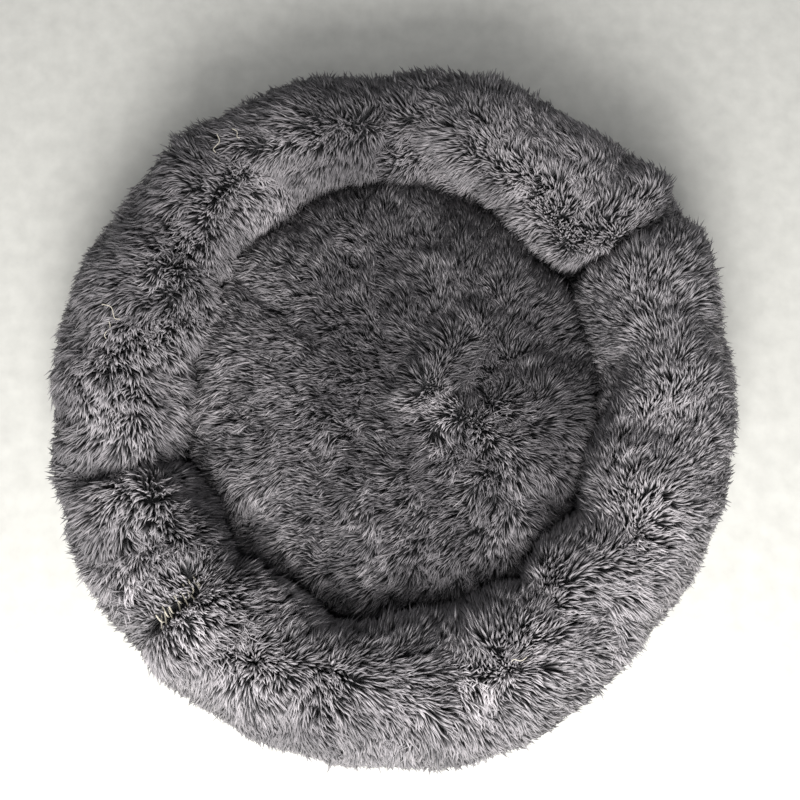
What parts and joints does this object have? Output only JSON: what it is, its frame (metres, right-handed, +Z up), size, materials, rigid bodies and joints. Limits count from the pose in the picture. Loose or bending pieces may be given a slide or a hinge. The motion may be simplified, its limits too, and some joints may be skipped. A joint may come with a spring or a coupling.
{
  "type": "pet bed",
  "caption": "Round one-piece plush pet bed: a fat stuffed ring of long-pile faux fur round a domed cushion, on a non-slip base with a short zip underneath.",
  "frame": {"origin": "centre of the base, at the plane of the grip dots that rest on the floor", "axes": "+Z up through the open nest; +X to the right and -Y to the front, along and across the zip"},
  "size_m": [0.596, 0.596, 0.1542],
  "materials": {
    "plush": "matte",
    "seam": "matte",
    "liner": "matte",
    "fibre_fill": "matte",
    "base_cloth": "matte",
    "binding": "matte",
    "grip_pvc": "satin",
    "zip_tape": "matte",
    "zip_coil": "satin",
    "zip_metal": "satin"
  },
  "bodies": {
    "bed": {"ring_cover_rear": "plush", "ring_cover_left": "plush", "ring_cover_front": "plush", "ring_cover_right": "plush", "cushion_cover": "plush", "ring_seams": "seam", "well_seam": "seam", "ring_liner": "liner", "cushion_liner": "liner", "ring_fill": "fibre_fill", "cushion_fill": "fibre_fill", "base_cloth_front": "base_cloth", "base_cloth_rear": "base_cloth", "base_binding": "binding", "grip_dots": "grip_pvc", "zip_tape_front": "zip_tape", "zip_tape_rear": "zip_tape", "zip_coil_front": "zip_coil", "zip_coil_rear": "zip_coil", "zip_stops": "zip_metal"},
    "slider": {"zip_slider": "zip_metal"},
    "pull": {"zip_pull": "zip_metal"}
  },
  "joints": [
    {"name": "zip_slide", "type": "slide", "parent": "bed", "child": "slider", "axis": [1, 0, 0], "range_m": [0, 0.2073]},
    {"name": "pull_hinge", "type": "hinge", "parent": "slider", "child": "pull", "pos_m": [-0.10365, 0, 0.00501], "axis": [0, 1, 0], "range_deg": [0, 170]}
  ]
}
